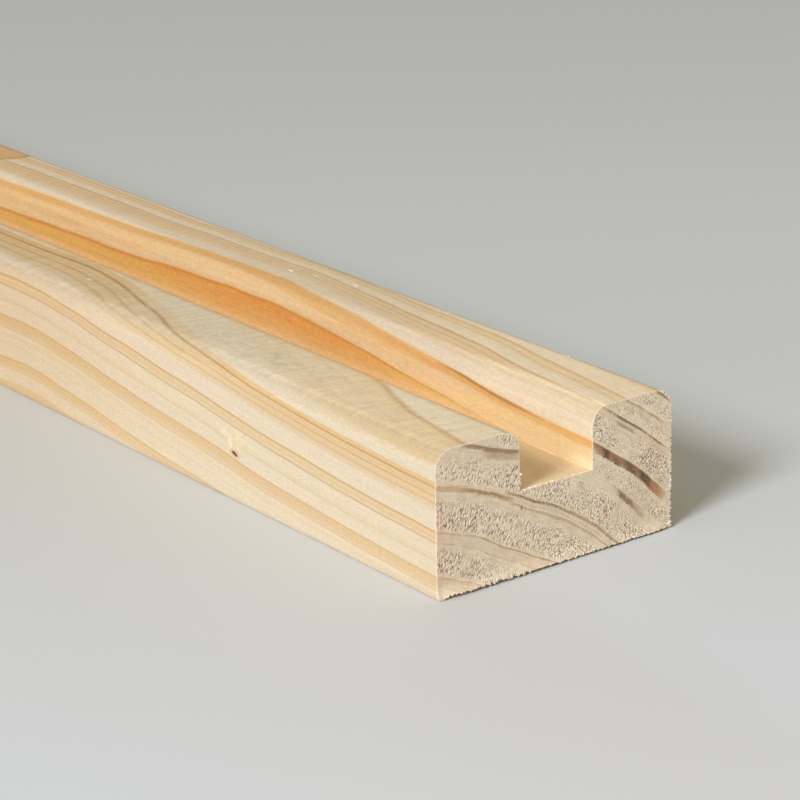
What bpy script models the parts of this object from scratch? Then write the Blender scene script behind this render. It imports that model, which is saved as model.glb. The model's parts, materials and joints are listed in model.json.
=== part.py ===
# Channel moulding: one straight length of planed softwood stock.
# It lies on its base along X, with the groove open upwards.
# The origin is under the middle of the length, on the floor.
# Sizes are in metres.

import math

import bpy


# Driving sizes of the stock
stock_length = 0.900
stock_width = 0.045
stock_height = 0.023

# Driving sizes of the groove, which runs along the middle of the top
groove_width = 0.014
groove_depth = 0.0097

# Rounding that the moulding cutter leaves on the long edges
top_arris_radius = 0.003
base_arris_radius = 0.0005

# Straight steps in each rounded quarter of the section
top_arris_steps = 12
base_arris_steps = 4

# Finish of the bare wood
pine_colour = (0.799, 0.676, 0.515, 1.0)
pine_roughness = 0.62
pine_metallic = 0.0


def clear_scene():
    for old_object in list(bpy.data.objects):
        bpy.data.objects.remove(old_object)


def make_collection(name):
    collection = bpy.data.collections.new(name)
    bpy.context.scene.collection.children.link(collection)
    return collection


def make_wood_material():
    material = bpy.data.materials.new("bare_pine")
    material.use_nodes = True
    shader = material.node_tree.nodes["Principled BSDF"]
    shader.inputs["Base Color"].default_value = pine_colour
    shader.inputs["Roughness"].default_value = pine_roughness
    shader.inputs["Metallic"].default_value = pine_metallic
    return material


def quarter_arc(centre_y, centre_z, radius, start_degrees, steps):
    # A quarter circle, anticlockwise from the start angle
    points = []
    for step in range(steps + 1):
        angle = math.radians(start_degrees + 90.0 * step / steps)
        points.append((centre_y + radius * math.cos(angle), centre_z + radius * math.sin(angle)))
    return points


def section_outline():
    # The section seen from the sawn end, anticlockwise from the front base edge
    half_width = stock_width / 2
    half_groove = groove_width / 2
    groove_floor = stock_height - groove_depth
    base_y = half_width - base_arris_radius
    outer_top_y = half_width - top_arris_radius
    inner_top_y = half_groove + top_arris_radius
    top_z = stock_height - top_arris_radius

    outline = []
    outline += quarter_arc(-base_y, base_arris_radius, base_arris_radius, 180, base_arris_steps)
    outline += quarter_arc(base_y, base_arris_radius, base_arris_radius, 270, base_arris_steps)
    outline += quarter_arc(outer_top_y, top_z, top_arris_radius, 0, top_arris_steps)
    outline += quarter_arc(inner_top_y, top_z, top_arris_radius, 90, top_arris_steps)
    outline += [(half_groove, groove_floor), (-half_groove, groove_floor)]
    outline += quarter_arc(-inner_top_y, top_z, top_arris_radius, 0, top_arris_steps)
    outline += quarter_arc(-outer_top_y, top_z, top_arris_radius, 90, top_arris_steps)
    return outline


def make_moulding(collection, material):
    # The section is drawn flat and run out to the length, half to each side
    drawing = bpy.data.curves.new("channel_moulding", "CURVE")
    drawing.dimensions = "2D"
    drawing.fill_mode = "BOTH"
    drawing.extrude = stock_length / 2

    outline = section_outline()
    spline = drawing.splines.new("POLY")
    spline.points.add(len(outline) - 1)
    for point, (across, up) in zip(spline.points, outline):
        point.co = (across, up, 0.0, 1.0)
    spline.use_cyclic_u = True

    moulding = bpy.data.objects.new("channel_moulding", drawing)
    # The drawing's own X, Y and Z become the room's Y, Z and X
    moulding.rotation_euler = (math.pi / 2, 0.0, math.pi / 2)
    moulding.data.materials.append(material)
    collection.objects.link(moulding)
    return moulding


clear_scene()
stock_collection = make_collection("channel_moulding_stock")
make_moulding(stock_collection, make_wood_material())
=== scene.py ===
import json
import math
from types import SimpleNamespace

import bmesh
import bpy
import numpy as np
from mathutils import Matrix, Vector


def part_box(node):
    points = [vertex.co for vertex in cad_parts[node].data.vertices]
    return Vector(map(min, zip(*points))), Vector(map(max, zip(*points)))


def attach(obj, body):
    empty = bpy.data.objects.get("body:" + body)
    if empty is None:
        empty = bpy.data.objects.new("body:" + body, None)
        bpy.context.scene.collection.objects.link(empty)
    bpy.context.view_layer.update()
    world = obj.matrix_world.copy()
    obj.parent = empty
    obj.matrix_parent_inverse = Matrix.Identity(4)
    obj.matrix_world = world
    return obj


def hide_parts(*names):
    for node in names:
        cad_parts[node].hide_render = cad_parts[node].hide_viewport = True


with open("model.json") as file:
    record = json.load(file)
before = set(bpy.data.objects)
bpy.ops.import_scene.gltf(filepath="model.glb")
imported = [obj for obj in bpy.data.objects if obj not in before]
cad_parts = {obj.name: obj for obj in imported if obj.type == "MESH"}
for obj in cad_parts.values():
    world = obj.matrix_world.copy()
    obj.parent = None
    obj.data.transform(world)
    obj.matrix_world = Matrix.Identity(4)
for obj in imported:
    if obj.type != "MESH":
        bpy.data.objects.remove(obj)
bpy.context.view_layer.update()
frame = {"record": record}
stockLow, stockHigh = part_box("channel_moulding")

mm = 0.001  # the frame is in metres
stockLength = stockHigh.x - stockLow.x
stockWidth = stockHigh.y - stockLow.y
stockHeight = stockHigh.z - stockLow.z


def tell(words):
    print("moulding:", words, flush=True)


# the groove's floor and half width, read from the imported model
def grooveSizes():
    floorMount = [m for m in frame["record"]["mounts"] if m["name"] == "groove_floor"][0]
    floorHeight = floorMount["pos_m"][2]
    places = [v.co for v in bpy.data.objects["channel_moulding"].data.vertices]
    onFloor = [p for p in places if abs(p.z - floorHeight) < 0.05 * mm]
    halfWidth = max(abs(p.y) for p in onFloor if abs(p.y) < stockWidth / 3)
    return floorHeight, halfWidth


grooveFloor, grooveHalf = grooveSizes()

# the same places in millimetres, as the wood's patterns count them
stockMiddle = stockWidth / mm / 2
nearWall = stockMiddle - grooveHalf / mm
farWall = stockMiddle + grooveHalf / mm
floorUp = grooveFloor / mm
topUp = stockHeight / mm


# node trees: one small helper that works in shader trees and in geometry trees alike
class Wiring:
    def __init__(self, tree):
        self.tree = tree

    def feed(self, socket, value):
        if isinstance(value, bpy.types.NodeSocket):
            self.tree.links.new(value, socket)
        elif isinstance(value, tuple) and socket.type == "RGBA":
            socket.default_value = (*value, 1)
        elif value is not None:
            socket.default_value = value

    def fill(self, node, inputs):
        # inputs are values or other nodes' sockets, by name or number
        for key, value in inputs.items():
            self.feed(node.inputs[key], value)
        return node

    def add(self, kind, inputs=None, **settings):
        node = self.tree.nodes.new(kind)
        for name, value in settings.items():
            setattr(node, name, value)
        return self.fill(node, inputs or {})

    def calc(self, operation, first, second=None, third=None, clamp=False):
        inputs = {0: first, 1: second, 2: third}
        return self.add("ShaderNodeMath", inputs, operation=operation, use_clamp=clamp).outputs[0]

    def times(self, total, *others):
        for value in others:
            total = self.calc("MULTIPLY", total, value)
        return total

    def plus(self, total, *others):
        for value in others:
            total = self.calc("ADD", total, value)
        return total

    def minus(self, first, second):
        return self.calc("SUBTRACT", first, second)

    def scaleAdd(self, value, scale, rest):
        return self.calc("MULTIPLY_ADD", value, scale, rest)

    def split(self, place):
        return tuple(self.add("ShaderNodeSeparateXYZ", {0: place}).outputs)

    def join(self, x, y, z):
        return self.add("ShaderNodeCombineXYZ", {0: x, 1: y, 2: z}).outputs[0]

    def scaled(self, parts):
        # a place whose parts are each a value with its scale, or a plain value
        return self.join(*[self.times(*part) if isinstance(part, tuple) else part for part in parts])

    def noise(self, parts, detail=2, roughness=0.5):
        # about 0.5 on average
        inputs = {"Vector": self.scaled(parts), "Scale": 1, "Detail": detail, "Roughness": roughness}
        return self.add("ShaderNodeTexNoise", inputs).outputs[0]

    def cells(self, parts):
        # distance to the middle of the cell, and a chance number of that cell
        node = self.add("ShaderNodeTexVoronoi", {"Vector": self.scaled(parts), "Scale": 1})
        return node.outputs["Distance"], self.split(node.outputs["Color"])[0]

    def rise(self, value, low, high, toLow=0, toHigh=1):
        # a soft step from toLow at low to toHigh at high
        inputs = {"Value": value, "From Min": low, "From Max": high, "To Min": toLow, "To Max": toHigh}
        return self.add("ShaderNodeMapRange", inputs, interpolation_type="SMOOTHSTEP").outputs[0]

    def fall(self, value, low, high):
        return self.rise(value, low, high, 1, 0)

    def hump(self, value, low, high, soft):
        # 1 between low and high, fading to 0 over soft on both sides
        return self.times(self.rise(value, low - soft, low), self.fall(value, high, high + soft))

    def vary(self, noise, least, most):
        return self.rise(noise, 0.3, 0.7, least, most)

    def offCentre(self, values, egg):
        # 0 in the middle of an egg-shaped place, 1 at its rim: the egg has middles, then half sizes
        squares = []
        for value, middle, half in zip(values, egg, egg[len(values):]):
            off = self.times(self.minus(value, middle), 1 / half)
            squares.append(self.times(off, off))
        return self.plus(*squares)

    def curve(self, value, points):
        # value and heights both run from 0 to 1
        node = self.add("ShaderNodeFloatCurve", {"Value": value})
        line = node.mapping.curves[0]
        while len(line.points) < len(points):
            line.points.new(0.5, 0.5)
        for point, place in zip(line.points, points):
            point.location = place
        node.mapping.update()
        return node.outputs[0]

    def ramp(self, value, stops):
        node = self.add("ShaderNodeValToRGB", {0: value})
        elements = node.color_ramp.elements
        while len(elements) < len(stops):
            elements.new(1)
        for element, (position, colour) in zip(elements, stops):
            element.position = position
            element.color = colour
        return node.outputs[0], node.outputs[1]

    def blendValue(self, amount, first, second):
        inputs = {0: amount, 2: first, 3: second}
        return self.add("ShaderNodeMix", inputs, data_type="FLOAT").outputs[0]

    def blend(self, amount, first, second, mode="MIX"):
        inputs = {0: amount, 6: first, 7: second}
        return self.add("ShaderNodeMix", inputs, data_type="RGBA", blend_type=mode).outputs[2]

    def lay(self, under, over, *shares):
        return self.blend(self.times(*shares), under, over)


# The tree that the stock was cut from. Places are in millimetres: along from the sawn end that
# the camera sees, across from the front side, and up from the base.

tree = {
    "pithAcross": -21,
    "pithUp": -64,
    # how far the pith wanders, how the inner rings draw apart and the outer rings draw together:
    # along, across, up, apart, together
    "wander": [
        (0, 0, 0, 0, 0), (20, 0.3, 0.9, 0.01, -0.06), (40, 1.8, 2.1, 0.05, 0),
        (60, 1.6, 4.4, 0.06, 0.22), (75, 0.9, 6.1, 0.07, 0.32), (90, -2.4, 8.8, 0.06, 0.35),
        (105, -8, 12.7, 0.04, 0.24), (118, -10.8, 14.6, 0, 0.13), (138, -12.6, 15.3, 0.02, 0.04),
        (165, -12, 14.4, 0, 0), (205, -9, 10.6, 0, 0), (265, -5, 6, 0, 0.04), (345, -2, 4, 0, 0.1),
        (435, -4, 6, 0, 0.05), (525, -8, 9, 0, 0), (615, -6, 8, 0, 0.08), (705, -3, 5, 0, 0.05),
        (805, 0, 3, 0, 0), (900, 3, 1, 0, 0),
    ],
    "wanderLow": -20,
    "wanderSpan": 40,
    "togetherLow": -0.2,
    "apartInside": 77.65,
    "togetherOutside": 96.3,
    "turnRadius": 85,  # millimetres from the pith at which the turn round it is measured
    # late wood of each ring: inner edge, outer edge, tone on the sides, tone on the sawn end, as
    # radii from the pith and shares of the full tone
    "lateWood": [
        (58.2, 60.3, 0.5, 0.26), (62.3, 64.2, 0.58, 0.26), (67.4, 68.2, 0.22, 0.1),
        (68.7, 70.9, 0.62, 0.3), (72.9, 74.1, 0.16, 0.08), (75.75, 77.75, 0.54, 0.28),
        (80.9, 84.95, 0.66, 0.14), (83.95, 84.85, 0.12, 0.1), (87.2, 91.7, 0.64, 0.14),
        (90.4, 91.7, 0.34, 0.26), (92.8, 95.1, 0.26, 0.08), (95.1, 96.2, 0.7, 0.1),
        (94.7, 96.2, 0, 0.62), (98.4, 101.5, 0.5, 0.14), (100.3, 101.5, 0, 0.22),
        (102.6, 104.2, 0.52, 0.34), (106.3, 107.6, 0.55, 0.34), (109.4, 111.2, 0.55, 0.34),
    ],
    # thin dark lines: radius, half width, tone on the sides, tone on the sawn end
    "lines": [
        (62.5, 0.2, 0.14, 0.05), (63.3, 0.16, 0.18, 0), (64.1, 0.2, 0.42, 0.25),
        (66.4, 0.3, 0.1, 0), (68.9, 0.18, 0.34, 0.06), (69.5, 0.15, 0.18, 0),
        (69.95, 0.15, 0.26, 0.06), (70.4, 0.14, 0.26, 0.06), (70.8, 0.18, 0.52, 0.24),
        (73.3, 0.35, 0.16, 0), (75.95, 0.22, 0.6, 0.34), (76.7, 0.3, 0.14, 0),
        (77.6, 0.24, 0.62, 0.36), (80.95, 0.25, 0.16, 0), (81.7, 0.26, 0.34, 0.06),
        (82.8, 0.24, 0.46, 0.14), (83.4, 0.15, 0.16, 0), (84.05, 0.26, 0.86, 0.22),
        (88.7, 0.25, 0.12, 0), (90, 0.3, 0.14, 0), (91.5, 0.32, 0.62, 0.26), (95.35, 0.95, 0.25, 0),
        (98.6, 0.2, 0.16, 0), (99.6, 0.25, 0.2, 0.05), (100.4, 0.24, 0.28, 0.2),
        (101.3, 0.27, 0.44, 0.36), (103.1, 0.22, 0.24, 0.12), (104, 0.24, 0.36, 0.26),
        (107.4, 0.22, 0.34, 0.36), (111, 0.2, 0.52, 0.36),
    ],
    # soft early wood that the saw tore: start, height of the tear, end, and its share
    "torn": [
        (57, 58, 59, 0.5), (60.4, 61, 62.6, 0.8), (64.3, 65.2, 68.4, 0.9), (70.95, 71.8, 75.7, 1),
        (77.8, 78.4, 82.8, 1), (84.9, 85.5, 90.2, 1), (91.8, 92.3, 94.7, 0.7),
        (96.3, 97, 100.7, 0.9), (101.6, 102.2, 103.2, 0.6), (104.4, 105.2, 106.8, 0.8),
        (107.7, 108.4, 110.6, 0.8),
    ],
    # places where the rings stand out further or lie closer than a circle: across, up, half
    # sizes of the place, and by how much
    "bulges": [
        (27, 5, 12, 10, 0.3), (16, 3.5, 11, 6, -0.6), (42.5, 4.5, 6.5, 6, -0.4),
        (9.5, 22, 9.5, 5, -0.8),
    ],
    "bulgeFade": 0.001,  # they die out with the square of the way from the seen end
    "wave": 0.8,  # long waves in the rings, and shorter ones
    "ripple": 0.26,
    # spans of radius, each drawn by one ramp
    "spans": [
        (56, 65), (65, 70.3), (70.3, 75), (75, 80), (80, 83.7), (83.7, 88),
        (88, 94), (94, 99), (99, 102.1), (102.1, 105.4), (105.4, 113),
    ],
}


def stepped(value, points):
    # the height at value of a line through the points, and 0 outside them
    for (lowValue, lowHeight), (highValue, highHeight) in zip(points, points[1:]):
        if lowValue <= value <= highValue:
            return lowHeight + (highHeight - lowHeight) * (value - lowValue) / (highValue - lowValue)
    return 0


def ringStops(low, high):
    # red holds the tan tone, green the dark line, blue the tone on the sawn end, alpha the tear
    shapes = []
    for inner, outer, tan, sawn in tree["lateWood"]:
        rise = min(0.6, 0.4 * (outer - inner))
        points = [(inner - 0.2, 0), (inner + rise, 0.75), (outer - 0.12, 1), (outer + 0.06, 0)]
        shapes.append((points, (tan, 0, sawn, 0)))
    for radius, half, line, sawn in tree["lines"]:
        points = [(radius - half, 0), (radius, 1), (radius + half, 0)]
        shapes.append((points, (0, line, sawn, 0)))
    for start, height, end, share in tree["torn"]:
        points = [(start, 0), (height, 1), (0.3 * height + 0.7 * end, 0.85), (end, 0)]
        shapes.append((points, (0, 0, 0, share)))
    radii = {low, high}
    for points, tones in shapes:
        radii |= {radius for radius, height in points if low < radius < high}
    stops = []
    for radius in sorted(radii):
        total = [0, 0, 0, 0]
        for points, tones in shapes:
            height = stepped(radius, points)
            total = [t + height * tone for t, tone in zip(total, tones)]
        stops.append(((radius - low) / (high - low), tuple(total)))
    return stops


def ringField(w, place):
    x, y, z = w.split(place)
    along = w.scaleAdd(x, -1 / mm, stockHigh.x / mm - sawCut["inset"])
    across = w.scaleAdd(y, 1 / mm, -stockLow.y / mm)
    up = w.times(z, 1 / mm)
    share = w.times(along, mm / stockLength)

    def wandered(column, low=0, span=1):
        points = [(row[0] * mm / stockLength, (row[column] - low) / span) for row in tree["wander"]]
        return w.curve(share, points)

    low, span = tree["wanderLow"], tree["wanderSpan"]
    pithAcross = w.scaleAdd(wandered(1, low, span), span, tree["pithAcross"] + low)
    pithUp = w.scaleAdd(wandered(2, low, span), span, tree["pithUp"] + low)

    # small waves in the rings, long with the grain
    wave = w.noise(((along, 0.02), (across, 0.09), (up, 0.09)), 2)
    ripple = w.noise(((along, 0.1), (across, 0.35), (up, 0.35)), 1)
    aside = w.minus(across, pithAcross)
    above = w.minus(up, pithUp)
    radius = w.calc("SQRT", w.plus(w.times(aside, aside), w.times(above, above)))
    inside = w.calc("MAXIMUM", w.minus(tree["apartInside"], radius), 0)
    radius = w.plus(radius, w.times(inside, wandered(3)))
    beyond = w.calc("MAXIMUM", w.minus(radius, tree["togetherOutside"]), 0)
    together = w.plus(wandered(4, tree["togetherLow"]), tree["togetherLow"])
    radius = w.plus(radius, w.times(beyond, together))
    for *egg, height in tree["bulges"]:
        far = w.plus(w.offCentre((across, up), egg), w.times(along, along, tree["bulgeFade"]))
        radius = w.plus(radius, w.rise(far, 0, 1, -height, 0))
    for noise, height in ((wave, tree["wave"]), (ripple, tree["ripple"])):
        radius = w.plus(radius, w.scaleAdd(noise, height, -height / 2))
    turn = w.times(w.calc("ARCTAN2", aside, above), tree["turnRadius"])

    tone = torn = None
    for low, high in tree["spans"]:
        value = w.calc("DIVIDE", w.minus(radius, low), high - low)
        inSpan = w.hump(value, 0, 1, 0.0001)
        colour, alpha = w.ramp(value, ringStops(low, high))
        colour = w.blend(inSpan, (0, 0, 0), colour)
        alpha = w.times(alpha, inSpan)
        tone = colour if tone is None else w.blend(1, tone, colour, "ADD")
        torn = alpha if torn is None else w.plus(torn, alpha)
    tan, line, sawn = w.split(tone)
    place = (along, across, up, radius, turn)
    return SimpleNamespace(place=place, tan=tan, line=line, sawn=sawn, torn=torn)


# parts of the sawn end that are torn more or less: across, up, half sizes, change
tearPlaces = [
    (4, 22, 9, 2.4, -0.9), (11, 19.2, 4.5, 1.7, -0.5), (36.5, 16.5, 3.2, 4, -0.6),
    (31.8, 13.4, 3.2, 1.8, -0.5), (27, 11.5, 3, 2, -0.3), (42, 12.2, 3.2, 3.2, 0.7),
    (30.9, 19.3, 1.8, 3, 0.5), (31, 7.2, 3.2, 2.2, 0.5), (21, 11, 4, 2.4, 0.3),
    (5.5, 11.6, 4.5, 2.2, 0.4), (42.5, 4, 2.6, 4.5, 0.4), (11.5, 3, 2.6, 3.2, -0.5),
    (15.5, 2.4, 2.2, 1.8, -0.4), (20.5, 5.5, 3.5, 4.5, 0.5), (27, 2.2, 4.5, 2.2, 0.4),
]


def tornGrain(w, field):
    # how deep the saw tore the end: narrow tears that point at the pith, and tufts between them
    along, across, up, radius, turn = field.place
    patch = w.noise(((across, 0.3), (up, 0.3), 4), 1)
    strength = w.rise(patch, 0.32, 0.58, 0.5, 1.1)
    for *egg, change in tearPlaces:
        strength = w.plus(strength, w.rise(w.offCentre((across, up), egg), 0, 1, change, 0))
    strength = w.calc("MULTIPLY", w.calc("MAXIMUM", strength, 0.06), field.torn, clamp=True)
    streak = w.noise(((turn, 3.9), (radius, 1.3), (along, 0.01)), 2, 0.6)
    crumb = w.noise(((turn, 4), (radius, 3), 7), 2, 0.6)
    tuft = w.blendValue(w.rise(across, 18, 30, 0.25, 0.75), streak, crumb)
    nib = w.noise(((turn, 5.6), (radius, 4.4), 9), 1)
    hollow = w.rise(tuft, 0.51, 0.585)
    crest = w.rise(tuft, 0.5, 0.41)
    depth = w.times(strength, w.plus(w.times(hollow, 0.7), w.times(nib, 0.5)))
    return SimpleNamespace(strength=strength, hollow=hollow, crest=crest, nib=nib, depth=depth)


# The shape: a gridded section is run out to the length and cut finer towards the ends

blank = {
    "cell": 0.5 * mm,
    "endRing": 0.5 * mm,  # the first strip behind each sawn end
    "edgeZone": 4 * mm,
    "nearZone": 30 * mm,
    "edgeCuts": 5,
    "nearCuts": 5,
    "middleCuts": 23,
    "seenEndCuts": 3,  # cuts of each cell on the end that the camera sees
    "otherEndCuts": 1,
    "topRadius": 3 * mm,
    "baseRadius": 0.5 * mm,
}


def pick(piece, kind, test):
    # selects the faces or edges whose test holds, in edit mode
    bpy.ops.mesh.select_mode(type="FACE" if kind == "faces" else "EDGE")
    bpy.ops.mesh.select_all(action="DESELECT")
    shape = bmesh.from_edit_mesh(piece.data)
    for part in getattr(shape, kind):
        if test(part):
            part.select_set(True)
    bmesh.update_edit_mesh(piece.data)


def middleOf(edge):
    return (edge.verts[0].co + edge.verts[1].co) / 2


def runsAlong(edge):
    first, second = (v.co for v in edge.verts)
    return abs(first.y - second.y) < 0.01 * mm and abs(first.z - second.z) < 0.01 * mm


def makeBlank(name):
    bpy.ops.object.select_all(action="DESELECT")
    rows = round(stockHeight / blank["cell"])
    columns = round(stockWidth / blank["cell"])
    bpy.ops.mesh.primitive_grid_add(
        x_subdivisions=rows, y_subdivisions=columns, size=1,
        location=(stockHigh.x, 0, stockHeight / 2), rotation=(0, math.pi / 2, 0))
    piece = bpy.context.object
    piece.name = name
    piece.scale = (stockHeight, stockWidth, 1)
    bpy.ops.object.transform_apply()

    bpy.ops.object.mode_set(mode="EDIT")
    nearestRow = round(grooveFloor / blank["cell"]) * blank["cell"]
    pick(piece, "edges", lambda e: all(abs(v.co.z - nearestRow) < 0.01 * mm for v in e.verts))
    bpy.ops.transform.translate(value=(0, 0, grooveFloor - nearestRow))

    def inGroove(face):
        place = face.calc_center_median()
        return abs(place.y) < grooveHalf and place.z > grooveFloor

    pick(piece, "faces", inGroove)
    bpy.ops.mesh.delete(type="FACE")
    bpy.ops.mesh.select_all(action="SELECT")
    bpy.ops.mesh.extrude_region_move(TRANSFORM_OT_translate={"value": (-stockLength, 0, 0)})
    bpy.ops.mesh.select_all(action="SELECT")
    bpy.ops.mesh.normals_make_consistent(inside=False)

    stations = []
    for depth in (blank["endRing"], blank["edgeZone"], blank["nearZone"]):
        stations += [stockHigh.x - depth, stockLow.x + depth]
    for station in stations:
        bpy.ops.mesh.select_all(action="SELECT")
        bpy.ops.mesh.bisect(plane_co=(station, 0, 0), plane_no=(1, 0, 0))

    zones = (
        (blank["endRing"], blank["edgeZone"], blank["edgeCuts"]),
        (blank["edgeZone"], blank["nearZone"], blank["nearCuts"]),
        (blank["nearZone"], stockLength / 2 + mm, blank["middleCuts"]),
    )
    for shallow, deep, cuts in zones:
        def inZone(edge):
            depth = stockHigh.x - abs(middleOf(edge).x)
            return runsAlong(edge) and edge.calc_length() > 0.1 * mm and shallow < depth < deep

        pick(piece, "edges", inZone)
        bpy.ops.mesh.subdivide(number_cuts=cuts)

    for side, cuts in ((1, blank["seenEndCuts"]), (-1, blank["otherEndCuts"])):
        def nearEnd(face):
            return side * face.calc_center_median().x > stockHigh.x - 0.9 * blank["endRing"]

        pick(piece, "faces", nearEnd)
        bpy.ops.mesh.subdivide(number_cuts=cuts)
    bpy.ops.object.mode_set(mode="OBJECT")
    return piece


def roundCorner(places, centreY, centreZ, signY, signZ, radius):
    # a square corner block becomes a quarter round: straight rays keep their share of the way out
    u = (places[:, 1] - centreY) * signY / radius
    v = (places[:, 2] - centreZ) * signZ / radius
    inside = (u > 0) & (v > 0) & (u < 1.001) & (v < 1.001)
    reach = np.maximum(u, v)[inside] / np.hypot(u[inside], v[inside])
    places[inside, 1] = centreY + signY * radius * u[inside] * reach
    places[inside, 2] = centreZ + signZ * radius * v[inside] * reach


def roundEdges(piece):
    mesh = piece.data
    places = np.empty(len(mesh.vertices) * 3)
    mesh.vertices.foreach_get("co", places)
    places = places.reshape(-1, 3)
    half, top, base = stockWidth / 2, blank["topRadius"], blank["baseRadius"]
    for side in (1, -1):
        roundCorner(places, side * (half - top), stockHeight - top, side, 1, top)
        roundCorner(places, side * (grooveHalf + top), stockHeight - top, -side, 1, top)
        roundCorner(places, side * (half - base), base, side, -1, base)
    mesh.vertices.foreach_set("co", places.ravel())
    mesh.update()


# The saw's work on both ends, as real relief that only goes inwards

sawCut = {
    "inset": 1.1,  # millimetres from the stock's box to the cut, which a torn lip stands out from
    "recess": 0.12,
    "tear": 0.12,  # depth of the deepest tear
    "roll": 0.12,  # slow unevenness of the cut
    "grit": 0.05,  # fine roughness all over
    "lip": 1.2,  # how far the fibres along the base stand out where the saw came through
    "lipHeight": 2.4,
    "lipCurve": 1.6,
    "gap": 3.4,  # how deep the lowest edge has broken away
    "gapHeights": (0.56, 0.34),  # at the front and at the back
    "burr": 0.45,  # torn edge that stands out from the back
    "reach": 8,  # how far from the end the side faces are drawn along
}


def carveEnds(piece):
    group = bpy.data.node_groups.new("saw_cut", "GeometryNodeTree")
    for way in ("INPUT", "OUTPUT"):
        group.interface.new_socket("Geometry", in_out=way, socket_type="NodeSocketGeometry")
    w = Wiring(group)
    whole = w.add("NodeGroupInput").outputs[0]
    place = w.add("GeometryNodeInputPosition").outputs[0]
    x = w.split(place)[0]
    field = ringField(w, place)
    torn = tornGrain(w, field)
    across, up = field.place[1:3]
    roll = w.noise(((across, 0.5), (up, 0.5), x), 1)
    depth = w.scaleAdd(torn.depth, sawCut["tear"], sawCut["recess"])
    depth = w.scaleAdd(roll, sawCut["roll"], depth)
    depth = w.scaleAdd(torn.nib, sawCut["grit"], depth)
    depth = w.plus(depth, sawCut["inset"])

    # the lip along the base, and the ragged gap under it
    lip = w.rise(across, 0, 42, sawCut["lip"], 0.4 * sawCut["lip"])
    lip = w.times(lip, w.rise(across, 42, 44.8, 1, 0.3), w.rise(across, 0, 3.5, 0.35, 1))
    height = w.calc("SUBTRACT", 1, w.times(up, 1 / sawCut["lipHeight"]), clamp=True)
    depth = w.minus(depth, w.times(lip, w.calc("POWER", height, sawCut["lipCurve"])))
    ragged = w.noise(((across, 1.7), (x, 0.5), 2), 3, 0.7)
    gap = w.times(w.scaleAdd(ragged, 2.4, -0.45), w.rise(across, 0.5, 1.8))
    gap = w.times(gap, w.rise(across, 0, 44, *sawCut["gapHeights"]))
    depth = w.plus(depth, w.rise(w.minus(up, gap), -0.1, 0.06, sawCut["gap"], 0))
    depth = w.calc("MAXIMUM", depth, 0.02)

    fromEnd = w.scaleAdd(w.calc("ABSOLUTE", x), -1 / mm, stockHigh.x / mm)
    share = w.calc("SUBTRACT", 1, w.calc("DIVIDE", fromEnd, sawCut["reach"]), clamp=True)
    inward = w.times(w.calc("SIGN", x), depth, share, -mm)

    # the torn edge at the back
    tatter = w.noise((0, (up, 1.5), x), 3, 0.7)
    burr = w.times(w.rise(tatter, 0.42, 0.66), w.rise(across, 44.6, 45), w.fall(fromEnd, 0, 0.5))
    burr = w.times(burr, sawCut["burr"] * mm)
    move = w.add("GeometryNodeSetPosition", {"Geometry": whole, "Offset": w.join(inward, burr, 0)})
    w.add("NodeGroupOutput", {0: move.outputs[0]})
    modifier = piece.modifiers.new("saw cut", "NODES")
    modifier.node_group = group
    bpy.context.view_layer.objects.active = piece
    bpy.ops.object.modifier_apply(modifier=modifier.name)


tell("shaping the blank")
moulding = makeBlank("pine_moulding")
roundEdges(moulding)
bpy.context.view_layer.objects.active = moulding
moulding.select_set(True)
isEnd = [abs(face.normal.x) > 0.7 for face in moulding.data.polygons]
carveEnds(moulding)
bpy.ops.object.shade_smooth_by_angle(angle=math.radians(40))
tell(f"{len(moulding.data.polygons)} faces")


# Bare wood. Colours are linear

wood = {
    "cream": (0.665, 0.55, 0.395),
    "pinkCream": (0.675, 0.54, 0.4),
    "greenCream": (0.665, 0.555, 0.385),
    "gold": (0.625, 0.41, 0.155),
    "orange": (0.625, 0.385, 0.135),
    "farLate": (0.62, 0.365, 0.135),
    "amber": (0.69, 0.4, 0.105),
    "lightAmber": (0.74, 0.54, 0.27),
    "deepAmber": (0.64, 0.265, 0.055),
    "deepGold": (0.62, 0.355, 0.088),
    "stripe": (0.66, 0.32, 0.085),
    "line": (0.4, 0.195, 0.06),
    "topLine": (0.3, 0.155, 0.05),
    "paintedTopLight": (1.31, 1.11),  # painted light: how much lighter the top is drawn than the sides, near the sawn end and far from it
    # painted light: how much lighter the groove is drawn, near the sawn end and far from it
    "groove": (1.16, 0.99),
    "grooveFloor": (1.19, 1.15),  # painted light that lifts the groove floor out of the near leg's shade: under the near wall and under the far wall
    "rim": (0.9, 0.82, 0.68),
    "smudge": (0.4, 0.365, 0.25),
    # painted grey sheen for the front half of the top
    "paintedGreySheen": (0.66, 0.565, 0.415),
    # golden wood on the near leg's inner edge, drawn lighter as painted light
    "innerEdge": (0.84, 0.59, 0.33),
    # painted light low on the groove's far wall
    "paintedLowWallLight": (0.86, 0.62, 0.34),
    "resin": (0.27, 0.15, 0.045),
    "rosy": (1.03, 0.965, 0.98),
    "lemon": (0.98, 1.02, 0.93),
    "roughness": 0.52,
    "bumpDepth": 0.03 * mm,
    "bumpShare": 0.7,
}

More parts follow.
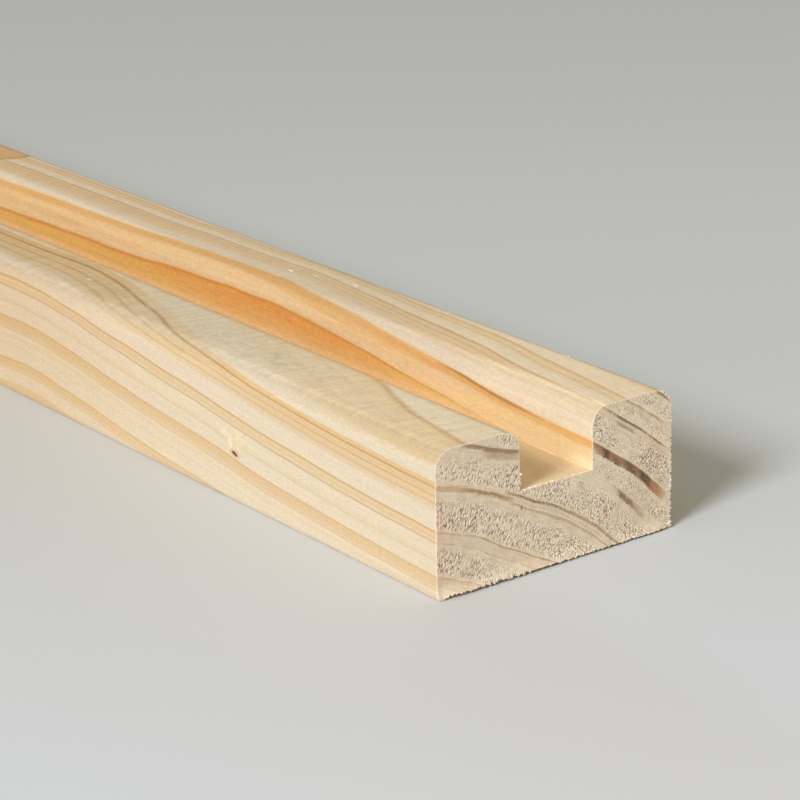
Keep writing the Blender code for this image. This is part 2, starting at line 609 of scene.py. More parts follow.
# small marks on the planed faces: along, across, up, half sizes, colour, share
marks = [
    ((51, 0, 10.6), (2, 3, 2.4), (0.83, 0.64, 0.33), 0.26),
    ((53.4, 0, 9.9), (0.9, 3, 1.5), (0.93, 0.78, 0.64), 0.36),
    ((55, 0, 11.1), (1.6, 3, 0.9), (0.92, 0.77, 0.62), 0.25),
    ((52.3, 0, 8.2), (1.8, 3, 0.9), (0.62, 0.33, 0.14), 0.65),
    ((52.5, 0, 8.25), (0.75, 3, 0.36), (0.11, 0.02, 0.008), 1),
    ((51.9, 0, 8), (0.65, 3, 0.36), (0.11, 0.02, 0.008), 0.9),
    ((95.5, 0, 7.7), (1.4, 3, 0.7), (0.6, 0.44, 0.38), 0.4),
    ((150, 29.5, 19.9), (7, 1.5, 0.7), (0.45, 0.36, 0.15), 0.4),
    # painted highlight where the sun comes in at the open end and lights the corner of the groove
    # floor and far wall
    ((1, 29.5, 13.3), (6.5, 2.8, 2.4), (0.88, 0.75, 0.56), 0.36),
    ((6, 26.5, 13.3), (30, 7, 0.7), (0.6, 0.475, 0.305), 0.85),
    ((20, 29.5, 16), (34, 1, 2.6), (0.7, 0.48, 0.18), 0.35),
    # painted light: the top of the groove's far wall drawn paler near the sawn end
    ((12, 31, 22), (26, 2.6, 3.2), (0.8, 0.66, 0.47), 0.5),
    ((8, 1, 22.6), (42, 3.2, 2.6), (0.56, 0.39, 0.2), 0.38),
    ((12, 8.9, 23), (0.6, 0.8, 1), (0.4, 0.36, 0.26), 0.5),
    ((6.4, 7.4, 23), (0.5, 0.9, 1), (0.4, 0.36, 0.26), 0.45),
    ((100, 7, 23), (11, 1.3, 1.5), (0.46, 0.35, 0.19), 0.28),
    ((106.2, 7.1, 23), (1.2, 0.5, 1), (0.88, 0.78, 0.6), 0.6),
    # painted highlights where the lifted splinters on the back leg's top catch the light
    ((88.3, 36.5, 23), (1, 0.4, 1), (0.86, 0.8, 0.7), 0.6),
    ((83.3, 38, 23), (0.8, 0.3, 1), (0.86, 0.8, 0.7), 0.4),
    ((74, 39.7, 23), (0.9, 0.4, 1), (0.86, 0.8, 0.7), 0.4),
    ((21.9, 42.7, 22.8), (0.9, 0.4, 1), (0.86, 0.8, 0.7), 0.5),
]

# a knot that breaks out on the far top edge
knot = {
    "place": (207, 41, 23),
    "size": (21, 9.5, 9),
    "wood": (0.58, 0.37, 0.17),
    "rim": (0.46, 0.27, 0.11),
}

sawnWood = {
    "stops": (("early", 0), ("smooth", 0.3), ("brown", 0.66), ("dark", 1)),
    "early": (0.91, 0.745, 0.53),
    "smooth": (0.84, 0.665, 0.465),
    "brown": (0.51, 0.31, 0.155),
    "dark": (0.24, 0.12, 0.055),
    # pale crests of the torn tufts, partly their own colour and partly painted highlight
    "tip": (1, 0.9, 0.73),
    # dark pits, partly their own colour and partly painted shade in the torn hollows
    "pit": (0.17, 0.07, 0.03),
    "rose": (0.76, 0.5, 0.38),
    # painted highlight along the edges of the sawn end
    "rim": (0.92, 0.73, 0.56),
    "roughness": 0.85,
    "bumpDepth": 0.05 * mm,
    "bumpShare": 0.7,
}

# stretches of ring that stand out on the sawn end: inner and outer radius, softness, from and to
# across, softness, colour, share
endStrokes = [
    (83.75, 84.35, 0.25, 0, 13.5, 1.5, (0.6, 0.37, 0.18), 0.65),
    (84, 84.25, 0.22, 7, 11.5, 3, (0.4, 0.2, 0.075), 0.75),
    (84.7, 84.95, 0.2, 14.5, 36, 2.5, (0.4, 0.235, 0.1), 0.8),
    (84.85, 84.95, 0.12, 15.5, 22, 2, (0.3, 0.16, 0.08), 0.7),
    (83.3, 83.6, 0.16, 15, 34, 2.5, (0.54, 0.37, 0.21), 0.7),
    (94.95, 96, 0.25, 31.5, 41.4, 2.2, (0.36, 0.175, 0.085), 0.85),
    (94.9, 96, 0.3, 40.6, 42.4, 1.4, (0.52, 0.26, 0.1), 0.8),
    (94.95, 96.05, 0.25, 31.9, 32.5, 0.6, (0.085, 0.055, 0.04), 0.8),
    (94.85, 95.6, 0.25, 34, 34.4, 0.6, (0.1, 0.065, 0.045), 0.6),
    (94.95, 95.9, 0.25, 36.4, 37.8, 0.6, (0.11, 0.07, 0.05), 0.65),
    (95.1, 96.05, 0.22, 39.2, 40.7, 0.7, (0.075, 0.055, 0.04), 0.8),
    (101.2, 101.42, 0.2, 34.6, 38.4, 1.2, (0.22, 0.125, 0.065), 0.75),
    (100.3, 100.6, 0.25, 34.8, 37.2, 0.9, (0.24, 0.15, 0.09), 0.55),
    (90.75, 91.2, 0.4, 35, 37.2, 1, (0.15, 0.085, 0.05), 0.8),
    (90.75, 91.05, 0.3, 37.6, 39.2, 0.9, (0.5, 0.29, 0.14), 0.65),
    (91.15, 91.5, 0.3, 5.4, 15.6, 1.5, (0.33, 0.185, 0.095), 0.75),
    (90.3, 91.3, 0.9, 10, 15.6, 2.5, (0.4, 0.27, 0.15), 0.55),
    (107.2, 107.5, 0.2, 42.4, 45, 0.6, (0.24, 0.14, 0.08), 0.6),
]

# small stains on the sawn end: across, up, half sizes, colour, share
endStains = [
    (15.8, 10.7, 0.35, 0.5, (0.15, 0.09, 0.045), 0.85),
    (27.1, 11.6, 0.8, 0.6, (0.42, 0.32, 0.15), 0.5),
    (32.1, 5.9, 0.7, 1.3, (0.5, 0.26, 0.17), 0.55),
    (32.6, 11.2, 0.5, 0.9, (0.55, 0.32, 0.23), 0.45),
    (6.5, 2.6, 2.8, 1.6, (0.72, 0.5, 0.38), 0.4),
    (3.5, 11.5, 4.5, 1.9, (0.76, 0.52, 0.38), 0.35),
    (41.5, 12, 2.8, 3, (0.66, 0.44, 0.28), 0.4),
    (0.2, 9, 1.8, 9.5, (0.9, 0.57, 0.42), 0.75),
    (9.4, 8.8, 0.5, 1, (0.45, 0.23, 0.15), 0.55),
    (9.9, 3.4, 0.7, 1.3, (0.7, 0.46, 0.33), 0.4),
    (39, 7.4, 1.4, 0.9, (0.55, 0.47, 0.3), 0.4),
    (39, 6.5, 6, 5, (0.77, 0.61, 0.43), 0.6),
    (2.5, 7.5, 6, 4, (0.8, 0.62, 0.44), 0.45),
]


def newMaterial(name):
    material = bpy.data.materials.new(name)
    material.use_nodes = True
    wires = Wiring(material.node_tree)
    shader = material.node_tree.nodes["Principled BSDF"]
    return material, wires, shader


def objectPlace(w):
    return w.add("ShaderNodeTexCoord").outputs["Object"]


def spot(w, field, place, size, soft=0.05):
    # 1 in the middle of an egg-shaped spot, 0 from its rim outwards
    return w.fall(w.offCentre(field.place[:3], place + size), soft, 1)


def shadeBy(w, colour, shade):
    return w.blend(1, colour, w.join(shade, shade, shade), "MULTIPLY")


def finish(w, shader, colour, sizes, height):
    bump = {"Distance": sizes["bumpDepth"], "Strength": sizes["bumpShare"], "Height": height}
    normal = w.add("ShaderNodeBump", bump).outputs[0]
    w.fill(shader, {"Base Color": colour, "Roughness": sizes["roughness"], "Normal": normal})


def grooveWood(w, field, colour):
    # resin-rich wood that the groove lays open
    along, across, up, radius = field.place[:4]
    pastNearWall = w.rise(across, nearWall - 0.2, nearWall + 0.1)
    inGroove = w.times(pastNearWall, w.fall(radius, 96.1, 96.7), w.rise(along, 0, 70, 0.5, 1))
    onFloor = w.rise(along, 5, 90, 0.05, 0.8)
    inGroove = w.times(inGroove, w.rise(up, floorUp, floorUp + 0.7, onFloor, 1))
    soaked = w.noise(((along, 0.07), (radius, 0.8), 8), 3, 0.6)
    soak = w.times(w.vary(soaked, 0.5, 0.72), w.rise(radius, 91.8, 92.4, 1, 0.8))
    colour = w.lay(colour, wood["amber"], inGroove, soak)

    deep = w.times(w.fall(radius, 91.5, 91.9), w.rise(radius, 86.5, 91.3, 0.5, 1))
    deep = w.times(deep, w.rise(along, 18, 72, 0.05, 1), w.vary(soaked, 0.75, 1))
    golden = w.plus(w.rise(along, 84, 150, 0, 0.7), w.rise(up, 18.5, 14.5, 0, 0.6))
    golden = w.calc("MULTIPLY", golden, w.rise(radius, 90.8, 91.5, 1, 0.35), clamp=True)
    deepColour = w.blend(golden, wood["deepAmber"], wood["deepGold"])
    colour = w.lay(colour, deepColour, inGroove, deep)

    # an orange stripe along the outermost resin-rich ring
    fleck = w.noise(((along, 0.6), (radius, 3), 4), 3, 0.7)
    stripeFrom = w.plus(w.rise(along, 26, 62, 95.3, 94), w.rise(along, 76, 100, 0, 1.2))
    stripe = w.times(w.rise(w.minus(radius, stripeFrom), -0.4, 0.1), w.fall(radius, 96.05, 96.4))
    stripe = w.times(stripe, w.rise(soaked, 0.3, 0.6, 0.6, 0.95), w.rise(fleck, 0.32, 0.56, 0.55, 1))
    stripe = w.times(stripe, pastNearWall)
    colour = w.lay(colour, wood["stripe"], stripe, w.rise(along, 0, 60, 0.95, 0.72))
    colour = w.lay(colour, wood["lightAmber"], inGroove, w.rise(fleck, 0.5, 0.72, 0, 0.3))
    return w.lay(colour, wood["line"], inGroove, w.rise(fleck, 0.28, 0.48, 0.22, 0))


def topWood(w, field, colour):
    # painted grey sheen, and smudges, on the front half of the top
    along, across = field.place[:2]
    bruise = w.noise(((field.skew, 0.42), (across, 0.45), 5), 3, 0.65)
    frontHalf = w.times(field.onTop, w.fall(across, 13, 14.5), w.hump(along, 4, 80, 25))
    colour = w.lay(colour, wood["paintedGreySheen"], frontHalf, w.scaleAdd(field.darkLine, -0.5, 0.55))
    smudged = w.times(w.hump(across, 6, 8.6, 2), w.hump(along, 42, 62, 16))
    bruise = w.plus(bruise, w.times(field.brush, 0.35))
    smudged = w.times(smudged, w.rise(bruise, 0.68, 0.86, 0, 0.58))
    return w.lay(colour, wood["smudge"], smudged, frontHalf)


def markedWood(w, field, colour):
    along, across, up, radius = field.place[:4]
    # a resin streak on the groove's far wall
    streak = w.times(w.hump(radius, 95.95, 96.15, 0.3), w.hump(along, 20, 31, 10))
    streak = w.times(streak, w.hump(across, farWall - 1.5, farWall + 1, 1))
    colour = w.lay(colour, wood["resin"], streak, 0.7)

    for middle, half, markColour, share in marks:
        colour = w.lay(colour, markColour, spot(w, field, middle, half), share)
    inKnot = spot(w, field, knot["place"], knot["size"], 0.93)
    atRim = w.times(inKnot, w.minus(1, spot(w, field, knot["place"], knot["size"], 0.7)))
    colour = w.lay(colour, knot["wood"], inKnot)
    colour = w.lay(colour, knot["rim"], atRim, 0.8)

    # pale fibres stand up along the sawn edge
    nearCut = w.rise(w.plus(along, w.times(field.fine, 0.9)), 0.55, 1.05, 0.6, 0)
    colour = w.lay(colour, wood["rim"], nearCut)

    # golden wood round the near leg's inner edge, drawn lighter as painted light where the rounded
    # edge turns away from the sun
    innerEdge = w.hump(across, nearWall - 1.9, nearWall + 0.1, 1.4)
    innerEdge = w.times(innerEdge, w.hump(along, 26, 400, 14))
    colour = w.lay(colour, wood["innerEdge"], innerEdge, 0.75)

    # painted light: paler colour low on the groove's far wall
    paintedLowWallLight = w.hump(across, farWall - 0.1, farWall + 0.1, 0.2)
    paintedLowWallLight = w.times(paintedLowWallLight, w.rise(up, floorUp + 2.3, floorUp + 0.7))
    return w.lay(colour, wood["paintedLowWallLight"], paintedLowWallLight, 0.55)


def sideShade(w, field):
    # how light each place is: fibres, planer marks, and painted light that draws the top and the
    # groove lighter, most near the sawn end
    along, across, up = field.place[:3]
    shade = w.plus(w.vary(field.fibre, 0.955, 1.02), w.vary(field.fine, -0.065, 0.055))
    brushed = w.times(field.onTop, w.rise(across, 14, 30, 1, 0.45))
    shade = w.plus(shade, w.times(w.rise(field.brush, 0.36, 0.64, -0.06, 0.05), brushed))
    # painted light: the top and the groove are drawn lighter, most near the sawn end
    near = w.fall(along, 8, 90)
    top, sides = (w.rise(near, 0, 1, far, close) for close, far in (wood["paintedTopLight"], wood["groove"]))
    between = w.rise(across, nearWall - 0.2, nearWall + 0.2)
    between = w.times(between, w.fall(across, farWall - 0.1, farWall + 0.2))
    onFlat = w.rise(up, topUp - 0.4, topUp - 0.02)
    # painted shade: darker along the rounded top edges, where the sun falls most directly
    shade = w.times(shade, w.scaleAdd(w.hump(up, topUp - 1.6, topUp - 0.5, 0.8), -0.07, 1))
    shade = w.times(shade, w.blendValue(onFlat, w.blendValue(between, 1, sides), top))
    # painted light on the groove floor
    lit = w.rise(across, 20.5, 24, *wood["grooveFloor"])
    shade = w.times(shade, w.blendValue(w.times(between, w.fall(up, floorUp, floorUp + 0.4)), 1, lit))
    # painted shade: the front side darker far from the sawn end
    return w.times(shade, w.scaleAdd(w.times(w.rise(along, 70, 125), field.onFront), -0.07, 1))


def sideGrain():
    material, w, shader = newMaterial("pine_side_grain")
    field = ringField(w, objectPlace(w))
    along, across, up, radius, turn = field.place
    # fibres lie along the rings, so their pattern is drawn in ring radius and turn
    field.fibre = fibre = w.noise(((along, 0.1), (radius, 2.2), (turn, 0.9)), 3, 0.6)
    field.fine = w.noise(((along, 1.1), (across, 3.2), (up, 3.2)), 2, 0.65)
    # planer marks run slightly askew over the top
    field.skew = w.scaleAdd(across, 0.25, along)
    field.brush = w.noise(((field.skew, 0.7), (across, 0.1), 3), 3, 0.6)
    field.onTop = w.rise(up, topUp - 1.4, topUp - 0.1)
    field.onFront = w.fall(across, 1, 3)

    cloud = w.noise(((along, 0.03), (across, 0.12), (up, 0.12)), 1)
    tint = w.noise(((along, 0.012), (radius, 0.16), 3), 1)
    early = w.blend(w.rise(tint, 0.4, 0.62), wood["greenCream"], wood["pinkCream"])
    early = w.blend(w.rise(cloud, 0.35, 0.65, 0.2, 0.8), early, wood["cream"])
    late = w.blend(w.rise(tint, 0.38, 0.6), wood["gold"], wood["orange"])
    late = w.blend(w.rise(along, 60, 130, 0, 0.75), late, wood["farLate"])
    early = w.blend(w.times(w.rise(along, 45, 130, 0, 0.3), field.onFront), early, late)
    tan = w.times(field.tan, w.rise(fibre, 0.25, 0.7, 0.78, 1.12))
    tan = w.times(tan, w.scaleAdd(w.times(field.onTop, w.rise(along, 50, 90)), -0.16, 1))
    tan = w.calc("MULTIPLY", tan, w.rise(along, 60, 150, 1, 1.35), clamp=True)
    colour = grooveWood(w, field, w.blend(tan, early, late))

    field.darkLine = w.calc("MULTIPLY", field.line, w.vary(fibre, 0.74, 1.1), clamp=True)
    lineColour = w.blend(w.rise(up, topUp - 1, topUp - 0.1), wood["line"], wood["topLine"])
    colour = w.lay(colour, lineColour, field.darkLine)
    colour = topWood(w, field, colour)
    colour = markedWood(w, field, colour)

    mottle = w.noise(((along, 0.55), (across, 1.4), (up, 1.4)), 3, 0.7)
    mottle = w.blend(w.rise(mottle, 0.34, 0.66), wood["rosy"], wood["lemon"])
    colour = w.blend(1, colour, mottle, "MULTIPLY")
    colour = shadeBy(w, colour, sideShade(w, field))
    finish(w, shader, colour, wood, w.plus(fibre, field.fine, w.times(field.brush, 0.6)))
    return material


def edgeNearness(w, field, width):
    # 1 at the edges of the section and 0 from width inwards, with the legs folded over each other
    across, up = field.place[1:3]
    fold = w.calc("ABSOLUTE", w.minus(across, stockMiddle))
    corner = blank["topRadius"] / mm
    fromOutside = w.minus(stockMiddle, fold)
    fromGroove = w.minus(fold, grooveHalf / mm)
    fromGroove = w.plus(fromGroove, w.rise(up, floorUp - 0.4, floorUp - 0.2, 99, 0))
    aside = w.minus(corner, w.calc("MINIMUM", fromOutside, fromGroove))
    aside = w.calc("MAXIMUM", aside, 0)
    above = w.calc("MAXIMUM", w.minus(up, topUp - corner), 0)
    outwards = w.calc("SQRT", w.plus(w.times(aside, aside), w.times(above, above)))
    return w.fall(w.minus(corner, outwards), 0, width)


def endGrain():
    material, w, shader = newMaterial("pine_end_grain")
    field = ringField(w, objectPlace(w))
    torn = tornGrain(w, field)
    across, up, radius, turn = field.place[1:]
    grit = w.noise(((across, 5), (up, 5), 8), 2, 0.7)
    blot = w.noise(((turn, 0.55), (radius, 0.5), 6), 2, 0.6)

    # the strong edge of the widest ring only shows near both legs
    hidden = w.plus(w.hump(across, 16, 32.5, 2), w.rise(across, 38.5, 41))
    hidden = w.times(w.hump(radius, 87.5, 91.75, 0.1), hidden)
    tone = w.times(field.sawn, w.rise(blot, 0.3, 0.62, 0.78, 1.12))
    tone = w.times(tone, w.scaleAdd(hidden, -0.75, 1))
    tone = w.calc("MULTIPLY", tone, w.rise(across, 43, 44.6, 1, 0.45), clamp=True)
    colour = w.ramp(tone, [(stop, (*sawnWood[name], 1)) for name, stop in sawnWood["stops"]])[0]
    ragged = w.noise(((turn, 2.4), (radius, 2.4), 2), 2, 0.7)
    for *egg, stainColour, share in endStains:
        amount = w.rise(w.offCentre((across, up), egg), 0.1, 1, share, 0)
        colour = w.lay(colour, stainColour, amount, w.rise(ragged, 0.3, 0.6, 0.5, 1))
    swayedRadius = w.plus(radius, w.scaleAdd(ragged, 0.5, -0.25))
    swayedAcross = w.plus(across, w.scaleAdd(ragged, 1.8, -0.9))
    for inner, outer, softRadius, start, end, softAcross, strokeColour, share in endStrokes:
        amount = w.hump(swayedRadius, inner, outer, softRadius)
        amount = w.times(amount, w.hump(swayedAcross, start, end, softAcross))
        amount = w.times(amount, w.rise(ragged, 0.25, 0.6, 0.55 * share, share))
        colour = w.lay(colour, strokeColour, amount)

    # fine streaks along the rings where the cut is smooth
    streak = w.noise(((turn, 0.35), (radius, 3.6), 1), 3, 0.65)
    ray = w.noise(((turn, 5), (radius, 0.8), 1), 2, 0.6)
    shade = w.plus(w.vary(streak, 0.9, 1.08), w.vary(ray, -0.06, 0.06))
    shade = w.plus(shade, w.vary(grit, -0.07, 0.07))
    colour = shadeBy(w, colour, shade)

    # pale crests of the torn tufts: partly their own colour, partly painted highlight where the low
    # sun catches them
    tip = w.times(torn.strength, torn.crest, w.rise(grit, 0.3, 0.55, 0.5, 1))
    colour = w.lay(colour, sawnWood["tip"], tip)
    # dark pits, partly their own colour and partly painted shade in the torn hollows: strokes towards
    # the pith at the left and dots further right
    pits = []
    for stretch in (1.1, 2.6):
        middle, chance = w.cells(((turn, 2.9), (radius, stretch), 1))
        pits.append(w.times(w.fall(middle, 0.18, 0.42), w.rise(chance, 0.34, 0.46)))
    dot = w.blendValue(w.rise(across, 14, 26), pits[0], pits[1])
    pit = w.times(torn.strength, torn.hollow, w.rise(grit, 0.3, 0.6, 0.25, 0.7))
    pit = w.calc("MAXIMUM", pit, w.times(dot, torn.strength, w.rise(grit, 0.25, 0.5, 0.75, 1)))
    colour = w.lay(colour, sawnWood["pit"], pit)
    rosy = w.times(w.rise(blot, 0.56, 0.72), torn.strength, 0.45)
    colour = w.lay(colour, sawnWood["rose"], rosy, w.rise(grit, 0.45, 0.6))
    # painted highlight: a pale rim along the edges of the sawn end
    colour = w.lay(colour, sawnWood["rim"], edgeNearness(w, field, 0.35), 0.55)
    finish(w, shader, colour, sawnWood, w.minus(grit, w.times(pit, 0.9)))
    return material


tell("wood materials")
moulding.data.materials.clear()
moulding.data.materials.append(sideGrain())
moulding.data.materials.append(endGrain())
for face, onEnd in zip(moulding.data.polygons, isEnd):
    face.material_index = 1 if onEnd else 0

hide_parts("channel_moulding")
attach(moulding, "root")


# A map for colour images: every long face is a strip, and the two ends lie above them

sheet = {
    "pixels": 1024,
    "acrossPixel": 0.2,  # millimetres of strip height in one pixel
    "endPixel": 0.115,
    "gap": 4,  # pixels between strips
}


def layOutSheet(piece):
    mesh = piece.data
    layer = mesh.uv_layers.new(name="OFBake")
    mesh.uv_layers.active = layer
    half = stockWidth / 2
    sideZone = half - blank["topRadius"] - 0.1 * mm
    # test on the face's middle and normal, axis that the strip's height follows, lowest place,
    # height: base, front, back, near and far wall, groove floor, front and back leg
    strips = (
        (lambda c, n: n.z < -0.5 * abs(n.y) and c.z < half / 4, 1, -half, stockWidth),
        (lambda c, n: c.y < -sideZone and n.y < 0, 2, 0, stockHeight),
        (lambda c, n: c.y > sideZone and n.y > 0, 2, 0, stockHeight),
        (lambda c, n: n.y > abs(n.z), 2, grooveFloor, stockHeight - grooveFloor),
        (lambda c, n: -n.y > abs(n.z), 2, grooveFloor, stockHeight - grooveFloor),
        (lambda c, n: abs(c.y) < grooveHalf, 1, -grooveHalf, 2 * grooveHalf),
        (lambda c, n: c.y < 0, 1, -half, half - grooveHalf),
        (lambda c, n: c.y > 0, 1, grooveHalf, half - grooveHalf),
    )
    size = sheet["pixels"]
    starts = []
    height = sheet["gap"]
    for test, axis, low, reach in strips:
        starts.append(height)
        height += reach / mm / sheet["acrossPixel"] + sheet["gap"]
    places = [v.co.copy() for v in mesh.vertices]
    for face, onEnd in zip(mesh.polygons, isEnd):
        middle, normal = face.center, face.normal
        if onEnd:
            side = 0 if middle.x > 0 else 1
            for loop in face.loop_indices:
                place = places[mesh.loops[loop].vertex_index]
                across = (place.y + half) / mm / sheet["endPixel"]
                up = place.z / mm / sheet["endPixel"]
                left = sheet["gap"] + side * (stockWidth / mm / sheet["endPixel"] + sheet["gap"])
                layer.data[loop].uv = ((left + across) / size, (height + up) / size)
            continue
        sideways = abs(normal.y) > abs(normal.z)
        for (test, axis, low, reach), start in zip(strips, starts):
            if (axis == 2) == sideways and test(middle, normal):
                break
        for loop in face.loop_indices:
            place = places[mesh.loops[loop].vertex_index]
            along = (stockHigh.x - place.x) / stockLength * (size - 2 * sheet["gap"])
            up = start + (place[axis] - low) / mm / sheet["acrossPixel"]
            layer.data[loop].uv = ((sheet["gap"] + along) / size, up / size)


tell("map for colour images")
layOutSheet(moulding)


# Torn fibres that stand out from the sawn edges

fray = {
    "seed": 5,
    "colour": (0.93, 0.85, 0.7),
    "tipColour": (0.97, 0.92, 0.82),
    "roughness": 0.9,
    "patches": 4,  # patches of colour in a millimetre
    "thick": (0.09, 0.24),  # millimetres
    # start and end of each run of edge (across, up), way that the fibres lean (along, across,
    # up), shortest and longest, how many
    "runs": [
        ((44.95, 0.8), (44.95, 18.5), (0.5, 0.75, 0.1), 0.16, 0.48, 120),
        ((44.6, 21.3), (43, 22.7), (0.75, 0.45, 0.25), 0.25, 0.5, 8),
        ((3, 0.6), (44, 0.6), (0.8, 0, -0.45), 0.15, 0.4, 40),
        ((15.45, 13.8), (15.45, 20), (0.6, 0.8, 0.15), 0.2, 0.45, 7),
        ((15.45, 15), (15.45, 16.2), (0.45, 0.9, 0.15), 0.35, 0.6, 3),
        ((15.8, 13.25), (29.2, 13.25), (0.85, 0, 0.4), 0.15, 0.35, 16),
        ((29.55, 13.8), (29.55, 19.8), (0.75, -0.55, 0.1), 0.15, 0.3, 6),
        ((3.2, 22.8), (12.3, 22.8), (0.9, 0, 0.25), 0.15, 0.3, 8),
        ((32.6, 22.8), (42, 22.8), (0.9, 0, 0.25), 0.15, 0.35, 12),
    ],
    # splinters that lie on the planed faces: along, across, up, turn in degrees, length
    "splinters": [
        (88.3, 36.5, 22.99, 12, 1.6),
        (83.3, 38, 22.99, -8, 1.1),
        (74, 39.7, 22.99, 10, 1.3),
        (21.9, 42.5, 22.93, -15, 1.2),
        (1.2, 42.9, 22.75, -40, 1.1),
    ],
}


def lipReach(across, up):
    # the lip that carveEnds gives the lower edge
    lip = sawCut["lip"] * (1 - 0.014 * across) * min(1, 0.35 + 0.19 * across)
    return lip * max(0, 1 - up / sawCut["lipHeight"]) ** sawCut["lipCurve"]


def makeFibres():
    chance = np.random.default_rng(fray["seed"])
    bpy.ops.object.select_all(action="DESELECT")
    bpy.ops.mesh.primitive_cone_add(
        vertices=4, radius1=0.05 * mm, radius2=0.01 * mm, depth=0.3 * mm,
        location=(stockHigh.x - 0.5 * mm, 0, grooveFloor / 2))
    piece = bpy.context.object
    piece.name = "frayed_edges"
    bpy.ops.object.transform_apply()
    bpy.ops.object.mode_set(mode="EDIT")
    for side, share in ((1, 1), (-1, 0.6)):
        for start, end, lean, shortest, longest, count in fray["runs"]:
            for fibre in range(round(count * share)):
                spread = chance.uniform()
                across = start[0] + (end[0] - start[0]) * spread
                up = start[1] + (end[1] - start[1]) * spread
                length = chance.uniform(shortest, longest) * mm
                way = Vector(lean) + Vector(chance.uniform(-0.28, 0.28, 3))
                way.x = abs(way.x) * side
                way.normalize()
                inside = (sawCut["inset"] + 0.42 - lipReach(across, up)) * mm
                root = Vector((side * (stockHigh.x - inside), across * mm + stockLow.y, up * mm))
                root -= way * 0.2 * mm
                # no fibre reaches out of the stock's box at the top, base or ends
                reach = length + 0.2 * mm
                reach = min(reach, (stockHigh.x - abs(root.x)) / abs(way.x))
                if way.z > 0:
                    reach = min(reach, (stockHeight - root.z) / way.z)
                if way.z < 0:
                    reach = min(reach, (root.z - 0.03 * mm) / -way.z)
                thick = chance.uniform(*fray["thick"]) * mm
                bpy.ops.mesh.primitive_cone_add(
                    vertices=4, radius1=thick, radius2=0.25 * thick, depth=reach,
                    location=root + way * reach / 2, rotation=way.to_track_quat("Z", "Y").to_euler())
    for along, across, up, turn, length in fray["splinters"]:
        place = Vector((stockHigh.x - along * mm, across * mm + stockLow.y, up * mm - 0.06 * mm))
        bpy.ops.mesh.primitive_cone_add(
            vertices=4, radius1=0.13 * mm, radius2=0.02 * mm, depth=length * mm,
            location=place, rotation=(0, math.radians(92), math.radians(turn)))
    bpy.ops.object.mode_set(mode="OBJECT")
    material, w, shader = newMaterial("torn_fibre")
    tone = w.noise([(axis, fray["patches"] / mm) for axis in w.split(objectPlace(w))])
    colour = w.blend(tone, fray["colour"], fray["tipColour"])
    w.fill(shader, {"Base Color": colour, "Roughness": fray["roughness"]})
    piece.data.materials.append(material)
    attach(piece, "root")
    return piece


tell("torn fibres")
fibres = makeFibres()
tell(f"{len(fibres.data.polygons)} faces")


# The floor, which is smooth pale card with painted shade that darkens it away from the window

card = {
    "size": 24,
    "paintedShadeWidth": 0.09,  # metres of floor beside the wood's front side that get painted shade and painted warm bounce light
    # tint of that painted shade and warm bounce light
    "paintedShadeTint": (0.975, 0.955, 0.915),
    # colour at a distance in metres ahead of the camera's foot, darker further on as painted shade
    "tones": [
        (0.33, (0.714, 0.733, 0.768)),
        (0.43, (0.642, 0.661, 0.656)),
        (0.5, (0.587, 0.604, 0.586)),
        (0.6, (0.562, 0.578, 0.557)),
        (0.7, (0.516, 0.533, 0.512)),
        (0.85, (0.476, 0.492, 0.471)),
    ],
    "ahead": (-0.8, 0.6, 0),
    "cameraFoot": -0.768,
    "roughness": 0.5,
    "gloss": 0.15,
}


def makeFloor():
    bpy.ops.object.select_all(action="DESELECT")
    bpy.ops.mesh.primitive_plane_add(size=card["size"], location=(0, 0, 0))
    floor = bpy.context.object
    floor.name = "pale_floor"
    material, w, shader = newMaterial("pale_card")
    inputs = {0: objectPlace(w), 1: card["ahead"]}
    ahead = w.add("ShaderNodeVectorMath", inputs, operation="DOT_PRODUCT").outputs["Value"]
    distance = w.minus(ahead, card["cameraFoot"])
    colour = w.ramp(distance, [(reach, (*tone, 1)) for reach, tone in card["tones"]])[0]
    side = w.split(objectPlace(w))[1]
    # painted shade and warm bounce light on the floor beside the wood's front side
    beside = w.times(w.rise(side, stockLow.y - card["paintedShadeWidth"], stockLow.y), w.fall(side, -0.02, 0))
    colour = w.lay(colour, w.blend(1, colour, card["paintedShadeTint"], "MULTIPLY"), beside)
    gloss = {"Roughness": card["roughness"], "Specular IOR Level": card["gloss"]}
    w.fill(shader, {"Base Color": colour, **gloss})
    floor.data.materials.append(material)


makeFloor()


# Light: one soft sun low in front of the long side, and a pale room

studio = {
    "sunWay": Vector((0.3, -1, 0.62)),
    "sunWidth": 17.8,  # degrees across, which sets how soft the shadow is
    "sunStrength": 3,
    "sunColour": (0.96, 1, 1.11),
    # the room is brighter overhead, and dimmer and warmer away from the sun
    "roomLevel": 0.32,
    "roomOverhead": 0.17,
    "roomTowardsSun": 0.11,
    "roomWarm": (1.1, 0.97, 0.7),
    "roomCool": (1.02, 1, 0.9),
    "backdrop": (0.5, 0.51, 0.47),
}


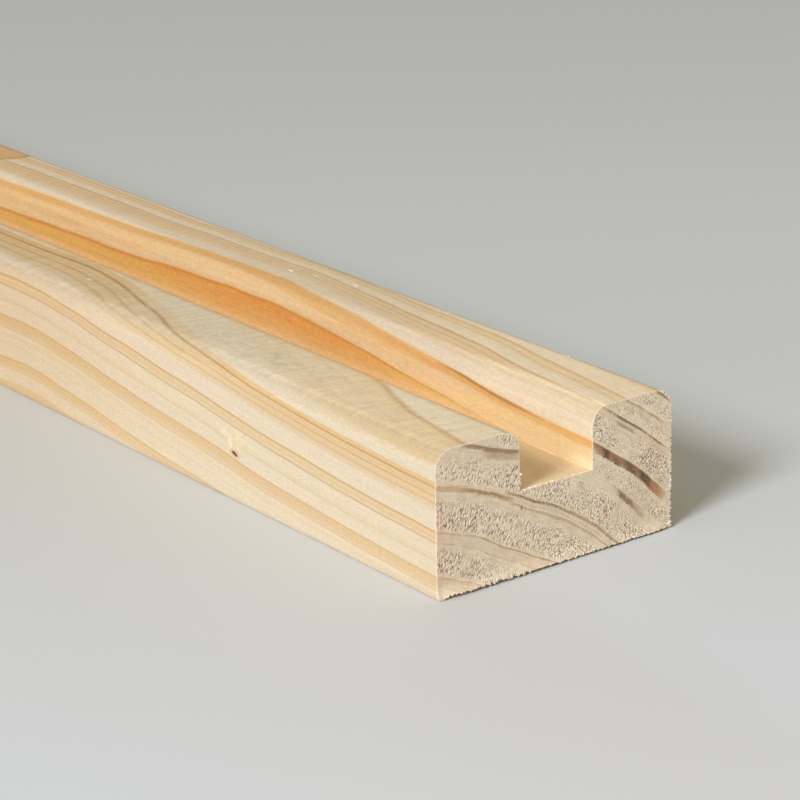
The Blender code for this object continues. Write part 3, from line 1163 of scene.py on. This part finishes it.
def makeLight():
    sunData = bpy.data.lights.new("window_light", "SUN")
    sunData.angle = math.radians(studio["sunWidth"])
    sunData.energy = studio["sunStrength"]
    sunData.color = studio["sunColour"]
    sun = bpy.data.objects.new("window_light", sunData)
    sun.location = studio["sunWay"]
    sun.rotation_euler = (-studio["sunWay"]).to_track_quat("-Z", "Y").to_euler()
    bpy.context.scene.collection.objects.link(sun)

    world = bpy.data.worlds.new("pale_room")
    bpy.context.scene.world = world
    world.use_nodes = True
    w = Wiring(world.node_tree)
    x, y, z = w.split(w.add("ShaderNodeTexCoord").outputs["Generated"])
    level = w.scaleAdd(z, studio["roomOverhead"], studio["roomLevel"])
    level = w.scaleAdd(y, -studio["roomTowardsSun"], level)
    background = world.node_tree.nodes["Background"]
    room = w.blend(w.rise(y, -0.9, 0.9), studio["roomCool"], studio["roomWarm"])
    w.fill(background, {"Color": room, "Strength": level})

    # the camera sees plain grey above the floor's edge
    seen = w.add("ShaderNodeBackground", {"Color": studio["backdrop"]}).outputs[0]
    byCamera = w.add("ShaderNodeLightPath").outputs["Is Camera Ray"]
    choose = w.add("ShaderNodeMixShader", {0: byCamera, 1: background.outputs[0], 2: seen})
    w.fill(world.node_tree.nodes["World Output"], {"Surface": choose.outputs[0]})


makeLight()


# Camera, as a fit of the stock's edges in the photograph gives it

view = {
    "imageWide": 800,
    "focalPixels": 2947,
    "azimuth": 53.29,
    "elevation": 19.18,
    "roll": -1.12,
    "endCornerInView": Vector((5.44, -29.24, -427.64)) * mm,
}


def makeCamera():
    cameraData = bpy.data.cameras.new("camera")
    cameraData.sensor_width = 36
    cameraData.lens = view["focalPixels"] / view["imageWide"] * cameraData.sensor_width
    cameraData.clip_start = 0.01
    camera = bpy.data.objects.new("camera", cameraData)
    turn = Matrix.Rotation(math.radians(view["azimuth"]), 4, "Z")
    tilt = Matrix.Rotation(math.radians(90 - view["elevation"]), 4, "X")
    roll = Matrix.Rotation(math.radians(view["roll"]), 4, "Z")
    pose = turn @ tilt @ roll
    cutInside = (sawCut["inset"] + 0.25) * mm
    corner = Vector((stockHigh.x - cutInside, stockLow.y, 0))
    camera.matrix_world = Matrix.Translation(corner - pose.to_3x3() @ view["endCornerInView"]) @ pose
    bpy.context.scene.collection.objects.link(camera)
    bpy.context.scene.camera = camera


makeCamera()
bpy.context.scene.view_settings.view_transform = "Standard"

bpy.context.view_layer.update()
tell("done")
